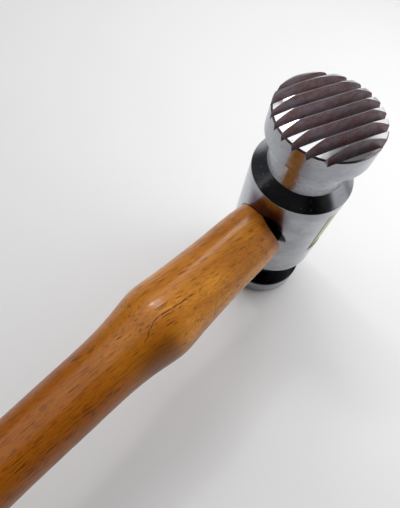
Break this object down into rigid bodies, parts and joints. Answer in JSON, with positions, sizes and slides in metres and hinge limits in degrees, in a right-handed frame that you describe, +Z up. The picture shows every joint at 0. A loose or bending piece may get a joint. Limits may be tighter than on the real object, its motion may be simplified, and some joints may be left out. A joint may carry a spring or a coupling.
{
  "type": "meat mallet",
  "caption": "Small steel mallet with a crowned, grooved striking face, a plain face and a turned beech handle wedged in its eye.",
  "frame": {"origin": "centre of the lower, plain striking face", "axes": "+Z up through the head towards the grooved face, +X along the handle from the head to the butt"},
  "size_m": [0.2403, 0.033, 0.0915],
  "materials": {
    "head_steel": "turned and polished, faintly brushed round the barrel",
    "handle_beech": "oiled beech, satin",
    "wedge_wood": "end grain hardwood",
    "wedge_steel": "mill scale, dull"
  },
  "bodies": {
    "root": {"head": "head_steel", "handle": "handle_beech", "wood_wedge": "wedge_wood", "steel_wedges": "wedge_steel"}
  },
  "joints": []
}
